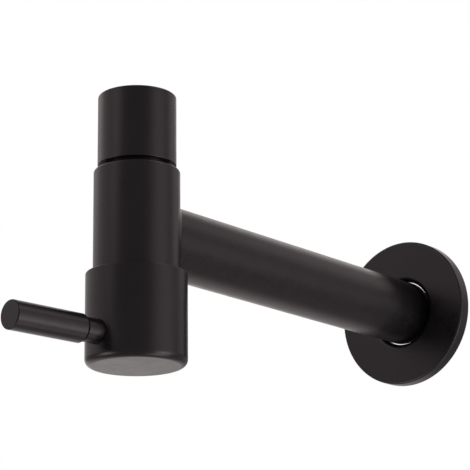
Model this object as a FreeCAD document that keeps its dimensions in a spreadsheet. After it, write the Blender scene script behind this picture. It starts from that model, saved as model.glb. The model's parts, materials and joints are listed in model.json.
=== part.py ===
import FreeCAD, Part
import os
import re

import Sketcher

# Wall-mounted cold water tap, millimetres, +Z up.
# The origin is the point where the arm's axis meets the finished wall.
# The room is on the -Y side, the threaded tail runs into the wall along +Y,
# the handle stands above the arm and the outlet points down.

# Driving sizes: name, value, meaning
SIZES = [
    ("projection", 160.0, "finished wall to the axis of the valve body"),
    ("fit_gap", 0.1, "radial gap of screwed, soldered and seated pieces"),
    ("running_gap", 0.05, "radial gap of the spindle in its housing"),
    ("seat_gap", 0.02, "gap between faces that slide on each other"),
    # Supply arm and its threaded tail
    ("inlet_thread", 20.955, "G1/2 outside diameter"),
    ("socket_wall", 1.9225, "wall of the arm around the threaded tail"),
    ("socket_depth", 14.0, "depth of the tail's socket in the arm"),
    ("arm_wall", 4.0, "wall of the arm along its length"),
    ("arm_setback", 2.5, "end of the arm in front of the wall"),
    ("arm_end_chamfer", 0.4, "chamfer of the arm's wall end"),
    ("spigot_wall", 1.5, "wall of the arm's spigot in the body"),
    ("tail_length", 14.0, "thread that stands out behind the wall plane"),
    ("tail_hex", 12.0, "key size of the tail's bore"),
    ("thread_chamfer", 1.0, "chamfer at both ends of the tail"),
    ("tail_groove", 1.0, "depth of the run-out groove at the arm's end"),
    ("tail_groove_width", 1.5, "width of that groove"),
    # Rosette
    ("rosette_gap", 0.25, "radial gap of the rosette on the arm"),
    ("rosette_dia", 58.0, "outside diameter"),
    ("rosette_depth", 5.0, "height of the rim"),
    ("rosette_sheet", 1.2, "thickness of the pressed sheet"),
    ("rosette_collar", 3.1, "depth of the collar that is bent in at the hole"),
    ("rosette_edge", 0.6, "outer bend"),
    ("rosette_lip", 2.0, "bend at the hole"),
    # Valve body
    ("outlet_thread", 24.0, "M24 thread of the outlet sleeve"),
    ("body_wall", 2.9, "wall of the body around the outlet thread"),
    ("body_below", 22.0, "arm axis to the lower end"),
    ("body_above", 24.0, "arm axis to the upper end"),
    ("body_chamfer", 0.8, "edge at the lower end"),
    ("seat_depth", 10.0, "arm axis to the cartridge's seat"),
    ("web_height", 4.0, "thickness of the seat web"),
    ("port_radius", 6.0, "water port through the web"),
    # Quarter-turn cartridge
    ("cartridge_thread", 20.955, "G1/2 thread of the headwork"),
    ("thread_grip", 11.0, "length of the cartridge's thread"),
    ("disc_radius", 7.5, "ceramic discs"),
    ("cage_wall", 1.3, "wall of the cage around the discs"),
    ("cage_lift", 1.0, "cage above its seat"),
    ("gasket_height", 2.5, "seat gasket"),
    ("gasket_width", 1.2, "seat gasket's band"),
    ("fixed_height", 3.5, "fixed disc"),
    ("turning_height", 3.0, "turning disc"),
    ("disc_port_inner", 2.2, "inner radius of a disc's port"),
    ("disc_port_outer", 6.0, "outer radius of a disc's port"),
    ("disc_port_angle", 78.0, "opening of one disc port, degrees"),
    ("key_width", 2.5, "keys of the fixed disc"),
    ("key_reach", 0.9, "height of a key above the disc's rim"),
    ("window_width", 9.0, "water windows of the cage"),
    ("window_margin", 0.6, "metal left above and below a window"),
    ("blade_width", 3.6, "driver blade of the spindle"),
    ("blade_bite", 1.2, "blade in the turning disc's slot"),
    ("blade_rise", 7.0, "turning disc to the spindle's flange"),
    ("flange_height", 3.0, "spindle flange with its stop lug"),
    ("glide_height", 0.6, "glide ring above the flange"),
    ("spindle_radius", 5.0, "spindle in its housing"),
    ("flange_step", 0.5, "flange around the spindle"),
    ("lug_angle", 50.0, "stop lug, degrees"),
    ("turn_range", 90.0, "turn from closed to open, degrees"),
    ("stop_play", 0.5, "free angle at each stop, degrees"),
    ("seal_section", 1.76, "section of the spindle's O-rings"),
    ("seal_pitch", 5.0, "distance between the two O-rings"),
    ("collar_inset", 2.0, "collar inside the body's outside radius"),
    ("collar_height", 2.0, "collar that seats on the body"),
    ("collar_seal", 1.4, "section of the collar's O-ring"),
    ("hex_flats", 19.0, "spanner size of the cartridge"),
    ("hex_height", 5.0, "height of the hexagon"),
    ("gland_radius", 7.0, "round top of the cartridge"),
    ("gland_height", 2.0, "round top above the hexagon"),
    ("circlip_height", 0.8, "thickness of the retaining ring"),
    ("circlip_radius", 5.6, "outside radius of the retaining ring"),
    ("circlip_opening", 60.0, "open angle of the retaining ring, degrees"),
    ("circlip_room", 2.0, "gland to the start of the spline"),
    ("spline_radius", 4.0, "tip radius of the spindle's spline"),
    ("spline_depth", 0.4, "depth of the spline's grooves"),
    ("spline_length", 8.0, "spline in the handle"),
    ("spline_room", 0.5, "free depth above the spline"),
    # Handle and lever
    ("skirt_gap", 0.35, "radial gap of the handle around the body"),
    ("handle_wall", 2.15, "wall of the handle's skirt"),
    ("arm_clearance", 2.3, "handle above the arm"),
    ("block_gap", 0.5, "handle above the hexagon"),
    ("crown_height", 3.5, "top wall of the handle"),
    ("crown_round", 2.5, "edge round the top face"),
    ("skirt_chamfer", 0.4, "edge round the skirt"),
    ("lever_rise", 2.5, "start of the spline to the lever's axis"),
    ("lever_turn", 6.0, "closed lever to the left or right of straight, degrees"),
    ("lever_radius", 5.0, "lever bar"),
    ("bar_length", 29.75, "shoulder to the tip"),
    ("neck_step", 0.75, "shoulder between bar and neck"),
    ("neck_show", 6.5, "neck that shows outside the handle"),
    ("neck_seat", 2.0, "neck inside the handle"),
    ("neck_line", 0.35, "groove at the shoulder"),
    ("tip_chamfer", 0.5, "edge of the tip"),
    ("stud_radius", 2.5, "M5 stud and grub screw"),
    ("stud_grip", 10.0, "stud inside the lever"),
    ("stud_clear", 0.4, "stud to the spindle"),
    ("grub_length", 8.0, "grub screw at the back"),
    ("grub_hex", 2.5, "key size of the grub screw"),
    ("grub_hex_depth", 3.0, "depth of its socket"),
    # Outlet sleeve and aerator
    ("shadow_gap", 1.7, "open gap between body and sleeve"),
    ("sleeve_height", 25.5, "visible height of the sleeve"),
    ("sleeve_wall", 2.85, "wall of the sleeve around the aerator"),
    ("sleeve_round", 0.6, "edge at the outlet"),
    ("sleeve_chamfer", 0.3, "edge at the shadow gap"),
    ("outlet_gasket_height", 1.5, "flat washer on the sleeve's neck"),
    ("neck_wall", 2.5, "wall of the sleeve's threaded neck"),
    ("relief_step", 0.8, "undercut below the neck's thread"),
    ("relief_height", 1.4, "undercut above the shadow gap"),
    ("aerator_thread", 21.5, "thread of the aerator insert"),
    ("aerator_recess", 0.6, "insert behind the outlet's edge"),
    ("aerator_wall", 1.55, "wall of the insert"),
    ("washer_height", 1.5, "washer above the insert"),
    ("washer_width", 2.4, "band of that washer"),
    ("lip_height", 1.5, "lip that holds the straightener"),
    ("lip_width", 1.0, "reach of the lip"),
    ("straightener_height", 4.0, "flow straightener"),
    ("spacer_height", 1.5, "rim under the diffuser plate"),
    ("rim_width", 1.2, "rims of diffuser and screen"),
    ("diffuser_height", 1.5, "diffuser plate"),
    ("screen_height", 2.4, "inlet screen with its rim"),
    ("screen_sheet", 0.5, "sheet of the inlet screen"),
    ("notch_width", 1.6, "key notches of the insert"),
    ("notch_depth", 1.0, "key notches of the insert"),
    ("cell_dia", 1.5, "cells of the straightener"),
    ("cell_pitch", 1.95, "distance between rings of cells"),
    ("screen_hole", 0.9, "holes of the inlet screen"),
    ("screen_pitch", 1.6, "distance between rings of holes"),
    ("jet_dia", 1.1, "jets of the diffuser"),
    ("jet_inner", 4.6, "inner ring of jets"),
    ("jet_outer", 7.0, "outer ring of jets"),
]

# Counts
TOOTH_COUNT = 20
NOTCH_COUNT = 8
CELL_RING_COUNT = 4
SCREEN_RING_COUNT = 5
INNER_JET_COUNT = 10
OUTER_JET_COUNT = 16
HEXAGON_SIDES = 6

# Radii and heights that follow from the driving sizes
INLET_R = "(inlet_thread / 2)"
SOCKET_R = f"({INLET_R} + fit_gap)"
ARM_R = f"({SOCKET_R} + socket_wall)"
ARM_BORE = f"({ARM_R} - arm_wall)"
SPIGOT_R = f"({ARM_BORE} + spigot_wall)"
OUTLET_R = "(outlet_thread / 2)"
BODY_R = f"({OUTLET_R} + fit_gap + body_wall)"
CARTRIDGE_R = "(cartridge_thread / 2)"
CHAMBER_R = f"({CARTRIDGE_R} + fit_gap)"
ROSETTE_HOLE = f"({ARM_R} + rosette_gap)"
CAGE_BORE = "(disc_radius + fit_gap)"
CAGE_R = f"({CAGE_BORE} + cage_wall)"
SPINDLE_BORE = "(spindle_radius + running_gap)"
FLANGE_R = "(spindle_radius + flange_step)"
BLADE_HALF = f"(sqrt({FLANGE_R} ^ 2 - (blade_width / 2) ^ 2))"
LUG_R = "(disc_radius - fit_gap)"
STOP_R = f"({FLANGE_R} + fit_gap)"
COLLAR_R = f"({BODY_R} - collar_inset)"
COLLAR_SEAL_R = f"({CHAMBER_R} + fit_gap + collar_seal / 2)"
COLLAR_POCKET_R = f"({COLLAR_SEAL_R} + collar_seal / 2 + fit_gap)"
SEAL_GROOVE_R = "(spindle_radius - seal_section - seat_gap)"
SPLINE_ROOT = "(spline_radius - spline_depth)"
SKIRT_BORE = f"({BODY_R} + skirt_gap)"
HANDLE_R = f"({SKIRT_BORE} + handle_wall)"
NECK_R = "(lever_radius - neck_step)"
SLEEVE_BORE = "(aerator_thread / 2 + fit_gap)"
SLEEVE_R = f"({SLEEVE_BORE} + sleeve_wall)"
NECK_BORE = f"({OUTLET_R} - neck_wall)"
INSERT_R = "(aerator_thread / 2)"
INSERT_BORE = f"({INSERT_R} - aerator_wall)"
INLAY_R = f"({INSERT_BORE} - fit_gap)"

SEAT_Z = "(-seat_depth)"
FIXED_Z = f"({SEAT_Z} + gasket_height)"
TURNING_Z = f"({FIXED_Z} + fixed_height + seat_gap)"
TURNING_TOP = f"({TURNING_Z} + turning_height)"
FLANGE_Z = f"({TURNING_TOP} + blade_rise)"
FLANGE_TOP = f"({FLANGE_Z} + flange_height)"
GLIDE_Z = f"({FLANGE_TOP} + running_gap)"
SHOULDER_Z = f"({GLIDE_Z} + glide_height)"
THREAD_Z = "(body_above - thread_grip)"
HEX_Z = "(body_above + collar_height)"
HEX_TOP = f"({HEX_Z} + hex_height)"
GLAND_TOP = f"({HEX_TOP} + gland_height)"
CIRCLIP_Z = f"({GLAND_TOP} + fit_gap)"
SPLINE_Z = f"({GLAND_TOP} + circlip_room)"
SPLINE_TOP = f"({SPLINE_Z} + spline_length)"
SEAL_Z = f"({THREAD_Z} + seal_section)"
SKIRT_Z = f"({ARM_R} + arm_clearance)"
BLOCK_Z = f"({HEX_TOP} + block_gap)"
CROWN_Z = f"({SPLINE_TOP} + spline_room)"
HANDLE_TOP = f"({CROWN_Z} + crown_height)"
LEVER_Z = f"({SPLINE_Z} + lever_rise)"
WEB_UNDER = f"({SEAT_Z} - web_height)"
NECK_TOP = f"({WEB_UNDER} - outlet_gasket_height)"
SLEEVE_TOP = "(-body_below - shadow_gap)"
SLEEVE_LOW = f"({SLEEVE_TOP} - sleeve_height)"
INSERT_LOW = f"({SLEEVE_LOW} + aerator_recess)"
STRAIGHTENER_Z = f"({INSERT_LOW} + lip_height)"
SPACER_Z = f"({STRAIGHTENER_Z} + straightener_height)"
SCREEN_Z = f"({SPACER_Z} + spacer_height + diffuser_height)"
INSERT_TOP = f"({SCREEN_Z} + screen_height)"
WASHER_TOP = f"({INSERT_TOP} + washer_height)"

SHOULDER_D = f"({HANDLE_R} + neck_show)"
NECK_D = f"({HANDLE_R} - neck_seat)"
TIP_D = f"({SHOULDER_D} + bar_length)"

document = FreeCAD.newDocument("wall_tap")
sheet = document.addObject("Spreadsheet::Sheet", "Sizes")
for row, (alias, number, meaning) in enumerate(SIZES, start=1):
    sheet.set(f"A{row}", alias)
    sheet.set(f"B{row}", str(number))
    sheet.set(f"C{row}", meaning)
    sheet.setAlias(f"B{row}", alias)
document.recompute()

ALIAS = re.compile(r"\b(" + "|".join(alias for alias, _, _ in SIZES) + r")\b")
pieces = []


def bound(text):
    """Return an expression with the sheet's name before each size."""
    return ALIAS.sub(r"Sizes.\1", text)


def number_of(text):
    """Return the present value of an expression of sizes."""
    value = sheet.evalExpression(bound(text))
    return float(getattr(value, "Value", value))


def new_body(label, turn="0", height="0"):
    """Add a body that stands on the valve's axis, turned about it and lifted."""
    body = document.addObject("PartDesign::Body", label)
    body.Label = label
    body.Placement = FreeCAD.Placement(FreeCAD.Vector(), FreeCAD.Rotation(FreeCAD.Vector(0, 0, 1), 1))
    body.setExpression("Placement.Base.y", bound("-projection"))
    body.setExpression("Placement.Base.z", bound(height))
    body.setExpression("Placement.Rotation.Angle", bound(f"({turn}) * 1deg"))
    pieces.append(body)
    return body


def new_arm_body(label):
    """Add a body that lies on the arm's axis, with its own zero at the wall."""
    body = document.addObject("PartDesign::Body", label)
    body.Label = label
    body.Placement = FreeCAD.Placement()
    pieces.append(body)
    return body


def new_sketch(body, name, role, lift="0", swing="0"):
    """Attach a sketch to one of the body's own planes, lifted and swung about its upright."""
    plane = [item for item in body.Origin.OriginFeatures if item.Role == role][0]
    sketch = body.newObject("Sketcher::SketchObject", f"{body.Name}_{name}")
    sketch.AttachmentSupport = [(plane, "")]
    sketch.MapMode = "FlatFace"
    sketch.AttachmentOffset = FreeCAD.Placement(
        FreeCAD.Vector(), FreeCAD.Rotation(FreeCAD.Vector(0, 1, 0), 1))
    sketch.setExpression("AttachmentOffset.Base.z", bound(lift))
    sketch.setExpression("AttachmentOffset.Rotation.Angle", bound(f"({swing}) * 1deg"))
    return sketch


def draw_outline(sketch, points):
    """Draw a closed outline whose corners are tied to expressions of sizes."""
    count = len(points)
    spots = [FreeCAD.Vector(number_of(x), number_of(y), 0) for x, y in points]
    first = sketch.GeometryCount
    for index in range(count):
        line = Part.LineSegment(spots[index], spots[(index + 1) % count])
        sketch.addGeometry(line, False)
    for index in range(count):
        following = first + (index + 1) % count
        sketch.addConstraint(Sketcher.Constraint("Coincident", first + index, 2, following, 1))
    for index, (x, y) in enumerate(points):
        tie_point(sketch, first + index, 1, x, y)


def tie_point(sketch, geometry, end, x, y):
    """Hold a sketch point at a place given by two expressions."""
    for kind, text in (("DistanceX", x), ("DistanceY", y)):
        spot = Sketcher.Constraint(kind, -1, 1, geometry, end, number_of(text))
        constraint = sketch.addConstraint(spot)
        sketch.setExpression(f"Constraints[{constraint}]", bound(text))


def draw_circle(sketch, radius, x="0", y="0"):
    """Draw a circle tied to expressions of sizes."""
    centre = FreeCAD.Vector(number_of(x), number_of(y), 0)
    circle = Part.Circle(centre, FreeCAD.Vector(0, 0, 1), number_of(radius))
    geometry = sketch.addGeometry(circle, False)
    tie_point(sketch, geometry, 3, x, y)
    constraint = sketch.addConstraint(Sketcher.Constraint("Radius", geometry, number_of(radius)))
    sketch.setExpression(f"Constraints[{constraint}]", bound(radius))


def polar_points(radii, count, phase="0"):
    """Return corners on a circle, with the radii used in turn."""
    step = 360 / count
    return [(f"{radii[index % len(radii)]} * cos(({index * step} + {phase}) * 1deg)",
             f"{radii[index % len(radii)]} * sin(({index * step} + {phase}) * 1deg)")
            for index in range(count)]


def turn_outline(body, name, role, points, angle="360", swing="0", cut=False):
    """Turn an outline about the body's upright or lying axis, to add or to cut."""
    sketch = new_sketch(body, f"{name}_outline", role, swing=swing)
    draw_outline(sketch, points)
    kind = "PartDesign::Groove" if cut else "PartDesign::Revolution"
    feature = body.newObject(kind, f"{body.Name}_{name}")
    feature.Profile = sketch
    feature.ReferenceAxis = (sketch, ["V_Axis"])
    feature.Midplane = True
    feature.Angle = number_of(angle)
    feature.setExpression("Angle", bound(f"({angle}) * 1deg"))
    document.recompute()
    return feature


def raise_outline(body, name, role, shapes, height, lift="0"):
    """Pad outlines and circles to a height above a lifted plane."""
    sketch = new_sketch(body, f"{name}_outline", role, lift=lift)
    for shape in shapes:
        shape(sketch)
    pad = body.newObject("PartDesign::Pad", f"{body.Name}_{name}")
    pad.Profile = sketch
    pad.Length = number_of(height)
    pad.setExpression("Length", bound(height))
    document.recompute()
    return pad


def cut_outline(body, name, role, shapes, depth=None, lift="0", backwards=False):
    """Cut outlines and circles, right through both ways or to a depth from a lifted plane."""
    before = body.Shape.Volume
    sketch = new_sketch(body, f"{name}_outline", role, lift=lift)
    for shape in shapes:
        shape(sketch)
    pocket = body.newObject("PartDesign::Pocket", f"{body.Name}_{name}")
    pocket.Profile = sketch
    if depth is None:
        pocket.Type = "ThroughAll"
        pocket.Midplane = True
    else:
        pocket.Reversed = backwards
        pocket.Length = number_of(depth)
        pocket.setExpression("Length", bound(depth))
    document.recompute()
    if not body.Shape.Volume < before:
        raise RuntimeError(f"{body.Label}: {name} removes nothing")
    return pocket


def repeat_round(body, feature, name, count, role="Z_Axis"):
    """Repeat a feature round one of the body's own axes."""
    axis = [item for item in body.Origin.OriginFeatures if item.Role == role][0]
    pattern = body.newObject("PartDesign::PolarPattern", f"{body.Name}_{name}")
    pattern.Originals = [feature]
    pattern.Axis = (axis, [""])
    pattern.Angle = 360
    pattern.Occurrences = count
    body.Tip = pattern
    document.recompute()
    return pattern


def round_edges(body, name, radius, chosen):
    """Fillet the edges of the body's last feature that a test chooses."""
    tip = body.Tip
    names = [f"Edge{index}" for index, edge in enumerate(tip.Shape.Edges, start=1) if chosen(edge)]
    fillet = body.newObject("PartDesign::Fillet", f"{body.Name}_{name}")
    fillet.Base = (tip, names)
    fillet.Radius = number_of(radius)
    fillet.setExpression("Radius", bound(radius))
    document.recompute()
    return fillet


def circle_edge(radius, axis_place, axis=2):
    """Return a test for a full circle of a radius at a place along an axis."""
    def test(edge):
        curve = edge.Curve
        if not isinstance(curve, Part.Circle):
            return False
        same_size = abs(curve.Radius - number_of(radius)) < SAME
        return same_size and abs(curve.Center[axis] - number_of(axis_place)) < SAME
    return test


def outline(points):
    """Return a drawing step for a closed outline."""
    return lambda sketch: draw_outline(sketch, points)


def circle(radius, x="0", y="0"):
    """Return a drawing step for a circle."""
    return lambda sketch: draw_circle(sketch, radius, x, y)


def rectangle(left, right, low, high):
    """Return a drawing step for a rectangle."""
    return outline([(left, low), (right, low), (right, high), (left, high)])


def add_seal(label, centre_radius, section, height):
    """Add an O-ring round the valve's axis."""
    seal = document.addObject("Part::Torus", label)
    seal.Label = label
    seal.setExpression("Radius1", bound(centre_radius))
    seal.setExpression("Radius2", bound(f"{section} / 2"))
    seal.setExpression("Placement.Base.y", bound("-projection"))
    seal.setExpression("Placement.Base.z", bound(height))
    pieces.append(seal)
    return seal


# Two lengths closer than this are the same edge
SAME = 1e-4


def make_supply_arm():
    """Tube from the wall to the valve body, coped to it, with a spigot soldered into it."""
    body = new_arm_body("supply_arm")
    socket_floor = "-arm_setback - socket_depth"
    turn_outline(body, "tube", "XY_Plane", [
        (ARM_BORE, "-projection"),
        (ARM_R, "-projection"),
        (ARM_R, "-arm_setback - arm_end_chamfer"),
        (f"{ARM_R} - arm_end_chamfer", "-arm_setback"),
        (SOCKET_R, "-arm_setback"),
        (SOCKET_R, socket_floor),
        (ARM_BORE, socket_floor),
    ])
    cut_outline(body, "cope", "XY_Plane", [circle(f"{BODY_R} + fit_gap / 2", y="-projection")])
    turn_outline(body, "spigot", "XY_Plane", [
        (ARM_BORE, f"-projection + {CHAMBER_R} + fit_gap"),
        (SPIGOT_R, f"-projection + {CHAMBER_R} + fit_gap"),
        (SPIGOT_R, f"-projection + {BODY_R} + fit_gap + spigot_wall"),
        (ARM_BORE, f"-projection + {BODY_R} + fit_gap + spigot_wall"),
    ])


def make_inlet_tail():
    """Threaded tail that is screwed into the arm and into the wall fitting."""
    body = new_arm_body("inlet_tail")
    inner_end = "-arm_setback - socket_depth + fit_gap"
    turn_outline(body, "barrel", "XY_Plane", [
        ("0", inner_end),
        (f"{INLET_R} - thread_chamfer", inner_end),
        (INLET_R, f"{inner_end} + thread_chamfer"),
        (INLET_R, "-arm_setback"),
        (f"{INLET_R} - tail_groove", "-arm_setback"),
        (f"{INLET_R} - tail_groove", "-arm_setback + tail_groove_width"),
        (INLET_R, "-arm_setback + tail_groove_width"),
        (INLET_R, "tail_length - thread_chamfer"),
        (f"{INLET_R} - thread_chamfer", "tail_length"),
        ("0", "tail_length"),
    ])
    corner = "tail_hex / 2 / cos(30deg)"
    cut_outline(body, "key_bore", "XZ_Plane", [outline(polar_points([corner], HEXAGON_SIDES))])


def make_rosette():
    """Pressed cover cup that slides loosely on the arm and hides the hole in the wall."""
    body = new_arm_body("rosette")
    turn_outline(body, "cup", "XY_Plane", [
        (ROSETTE_HOLE, "-rosette_depth"),
        ("rosette_dia / 2", "-rosette_depth"),
        ("rosette_dia / 2", "0"),
        ("rosette_dia / 2 - rosette_sheet", "0"),
        ("rosette_dia / 2 - rosette_sheet", "rosette_sheet - rosette_depth"),
        (f"{ROSETTE_HOLE} + rosette_sheet", "rosette_sheet - rosette_depth"),
        (f"{ROSETTE_HOLE} + rosette_sheet", "rosette_collar - rosette_depth"),
        (ROSETTE_HOLE, "rosette_collar - rosette_depth"),
    ])
    round_edges(body, "outer_bend", "rosette_edge", circle_edge("rosette_dia / 2", "-rosette_depth", axis=1))
    round_edges(body, "rolled_lip", "rosette_lip", circle_edge(ROSETTE_HOLE, "-rosette_depth", axis=1))


def make_tap_body():
    """Turned body with the chamber of the cartridge above and the outlet thread below."""
    body = new_body("tap_body")
    turn_outline(body, "barrel", "XZ_Plane", [
        ("port_radius", SEAT_Z),
        (CHAMBER_R, SEAT_Z),
        (CHAMBER_R, "body_above - collar_seal"),
        (COLLAR_POCKET_R, "body_above - collar_seal"),
        (COLLAR_POCKET_R, "body_above"),
        (BODY_R, "body_above"),
        (BODY_R, "-body_below + body_chamfer"),
        (f"{BODY_R} - body_chamfer", "-body_below"),
        (f"{OUTLET_R} + fit_gap", "-body_below"),
        (f"{OUTLET_R} + fit_gap", WEB_UNDER),
        ("port_radius", WEB_UNDER),
    ])
    cut_outline(body, "arm_hole", "XZ_Plane", [circle(f"{SPIGOT_R} + fit_gap")],
                depth=f"{BODY_R} + body_wall", backwards=False)


def make_cartridge_housing():
    """Housing of the quarter-turn cartridge: cage, thread, collar, hexagon and gland."""
    body = new_body("cartridge_housing")
    turn_outline(body, "barrel", "XZ_Plane", [
        (CAGE_BORE, f"{SEAT_Z} + cage_lift"),
        (CAGE_R, f"{SEAT_Z} + cage_lift"),
        (CAGE_R, THREAD_Z),
        (CARTRIDGE_R, THREAD_Z),
        (CARTRIDGE_R, "body_above"),
        (COLLAR_R, "body_above"),
        (COLLAR_R, HEX_Z),
        ("gland_radius", HEX_Z),
        ("gland_radius", GLAND_TOP),
        (SPINDLE_BORE, GLAND_TOP),
        (SPINDLE_BORE, SHOULDER_Z),
        (CAGE_BORE, SHOULDER_Z),
    ])
    corner = "hex_flats / 2 / cos(30deg)"
    raise_outline(body, "hexagon", "XY_Plane",
                  [outline(polar_points([corner], HEXAGON_SIDES)), circle("gland_radius - fit_gap")],
                  height="hex_height", lift=HEX_Z)
    turn_outline(body, "stop", "XZ_Plane", [
        (STOP_R, FLANGE_Z),
        (f"{CAGE_BORE} + fit_gap", FLANGE_Z),
        (f"{CAGE_BORE} + fit_gap", FLANGE_TOP),
        (STOP_R, FLANGE_TOP),
    ], angle="360 - lug_angle - turn_range - 2 * stop_play", swing="-turn_range / 2")
    window_low = f"{TURNING_TOP} + window_margin"
    window_high = f"{FLANGE_Z} - window_margin"
    cut_outline(body, "windows", "XZ_Plane",
                [rectangle("-window_width / 2", "window_width / 2", window_low, window_high)])
    cut_outline(body, "key_slots", "YZ_Plane",
                [rectangle("-key_width / 2 - fit_gap", "key_width / 2 + fit_gap",
                           f"{SEAT_Z} + cage_lift / 2", f"{TURNING_Z} + fit_gap")])


def make_fixed_disc():
    """Lower ceramic disc, keyed into the cage, with two ports."""
    body = new_body("fixed_disc")
    turn_outline(body, "blank", "XZ_Plane", [
        ("0", FIXED_Z),
        ("disc_radius", FIXED_Z),
        ("disc_radius", f"{FIXED_Z} + fixed_height"),
        ("0", f"{FIXED_Z} + fixed_height"),
    ])
    reach = "(disc_radius + key_reach)"
    raise_outline(body, "keys", "XY_Plane",
                  [rectangle(f"-{reach}", reach, "-key_width / 2", "key_width / 2")],
                  height="fixed_height", lift=FIXED_Z)
    cut_disc_ports(body, FIXED_Z, f"{FIXED_Z} + fixed_height")


def cut_disc_ports(body, low, high):
    """Cut two opposite ports through a ceramic disc, round its Y axis."""
    port = turn_outline(body, "port", "YZ_Plane", [
        ("disc_port_inner", f"{low} - fit_gap"),
        ("disc_port_outer", f"{low} - fit_gap"),
        ("disc_port_outer", f"{high} + fit_gap"),
        ("disc_port_inner", f"{high} + fit_gap"),
    ], angle="disc_port_angle", cut=True)
    repeat_round(body, port, "ports", 2)


def make_turning_disc():
    """Upper ceramic disc, turned by the spindle's blade. Closed at rest."""
    body = new_body("turning_disc", turn="90")
    turn_outline(body, "blank", "XZ_Plane", [
        ("0", TURNING_Z),
        ("disc_radius", TURNING_Z),
        ("disc_radius", TURNING_TOP),
        ("0", TURNING_TOP),
    ])
    cut_disc_ports(body, TURNING_Z, TURNING_TOP)
    half = f"({BLADE_HALF} + fit_gap)"
    cut_outline(body, "blade_slot", "XY_Plane",
                [rectangle(f"-{half}", half, "-blade_width / 2 - fit_gap", "blade_width / 2 + fit_gap")],
                depth="blade_bite", lift=TURNING_TOP)


def make_seat_gasket():
    """Rubber ring between the fixed disc and the seat of the body."""
    body = new_body("seat_gasket")
    turn_outline(body, "ring", "XZ_Plane", [
        ("disc_radius - gasket_width", SEAT_Z),
        ("disc_radius", SEAT_Z),
        ("disc_radius", FIXED_Z),
        ("disc_radius - gasket_width", FIXED_Z),
    ])


def make_glide_ring():
    """Low-friction ring between the spindle's flange and the housing's shoulder."""
    body = new_body("glide_ring")
    turn_outline(body, "ring", "XZ_Plane", [
        (f"{SPINDLE_BORE} + fit_gap", GLIDE_Z),
        ("disc_radius", GLIDE_Z),
        ("disc_radius", SHOULDER_Z),
        (f"{SPINDLE_BORE} + fit_gap", SHOULDER_Z),
    ])


def make_spindle():
    """Spindle with driver blade, stop lug, two seal grooves, circlip groove and spline."""
    body = new_body("spindle", turn="90")
    points = [
        ("0", FLANGE_Z),
        (FLANGE_R, FLANGE_Z),
        (FLANGE_R, FLANGE_TOP),
        ("spindle_radius", FLANGE_TOP),
    ]
    half_groove = "(seal_section / 2 + fit_gap)"
    for middle in (SEAL_Z, f"({SEAL_Z} + seal_pitch)"):
        points += [
            ("spindle_radius", f"{middle} - {half_groove}"),
            (SEAL_GROOVE_R, f"{middle} - {half_groove}"),
            (SEAL_GROOVE_R, f"{middle} + {half_groove}"),
            ("spindle_radius", f"{middle} + {half_groove}"),
        ]
    points += [
        ("spindle_radius", GLAND_TOP),
        (f"{SPLINE_ROOT} - spline_depth", GLAND_TOP),
        (f"{SPLINE_ROOT} - spline_depth", f"{CIRCLIP_Z} + circlip_height + fit_gap"),
        (SPLINE_ROOT, f"{CIRCLIP_Z} + circlip_height + fit_gap"),
        (SPLINE_ROOT, SPLINE_TOP),
        ("0", SPLINE_TOP),
    ]
    turn_outline(body, "barrel", "XZ_Plane", points)
    turn_outline(body, "lug", "XZ_Plane", [
        ("spindle_radius / 2", FLANGE_Z),
        (LUG_R, FLANGE_Z),
        (LUG_R, FLANGE_TOP),
        ("spindle_radius / 2", FLANGE_TOP),
    ], angle="lug_angle")
    raise_outline(body, "blade", "XY_Plane",
                  [rectangle(f"-{BLADE_HALF}", BLADE_HALF, "-blade_width / 2", "blade_width / 2")],
                  height="blade_bite - seat_gap + blade_rise + flange_height / 2",
                  lift=f"{TURNING_TOP} - blade_bite + seat_gap")
    raise_outline(body, "spline", "XY_Plane",
                  [outline(polar_points(["spline_radius", SPLINE_ROOT], 2 * TOOTH_COUNT))],
                  height="spline_length", lift=SPLINE_Z)


def make_circlip():
    """Open retaining ring on the spindle, above the gland."""
    body = new_body("spindle_circlip", turn="90")
    inner = f"{SPLINE_ROOT} - spline_depth + fit_gap"
    turn_outline(body, "ring", "XZ_Plane", [
        (inner, CIRCLIP_Z),
        ("circlip_radius", CIRCLIP_Z),
        ("circlip_radius", f"{CIRCLIP_Z} + circlip_height"),
        (inner, f"{CIRCLIP_Z} + circlip_height"),
    ], angle="360 - circlip_opening")


def make_seals():
    """O-rings of the spindle and of the cartridge's collar."""
    centre = "spindle_radius - seal_section / 2"
    add_seal("spindle_seal_lower", centre, "seal_section", SEAL_Z)
    add_seal("spindle_seal_upper", centre, "seal_section", f"{SEAL_Z} + seal_pitch")
    add_seal("collar_seal", COLLAR_SEAL_R, "collar_seal", "body_above - collar_seal / 2")


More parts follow.
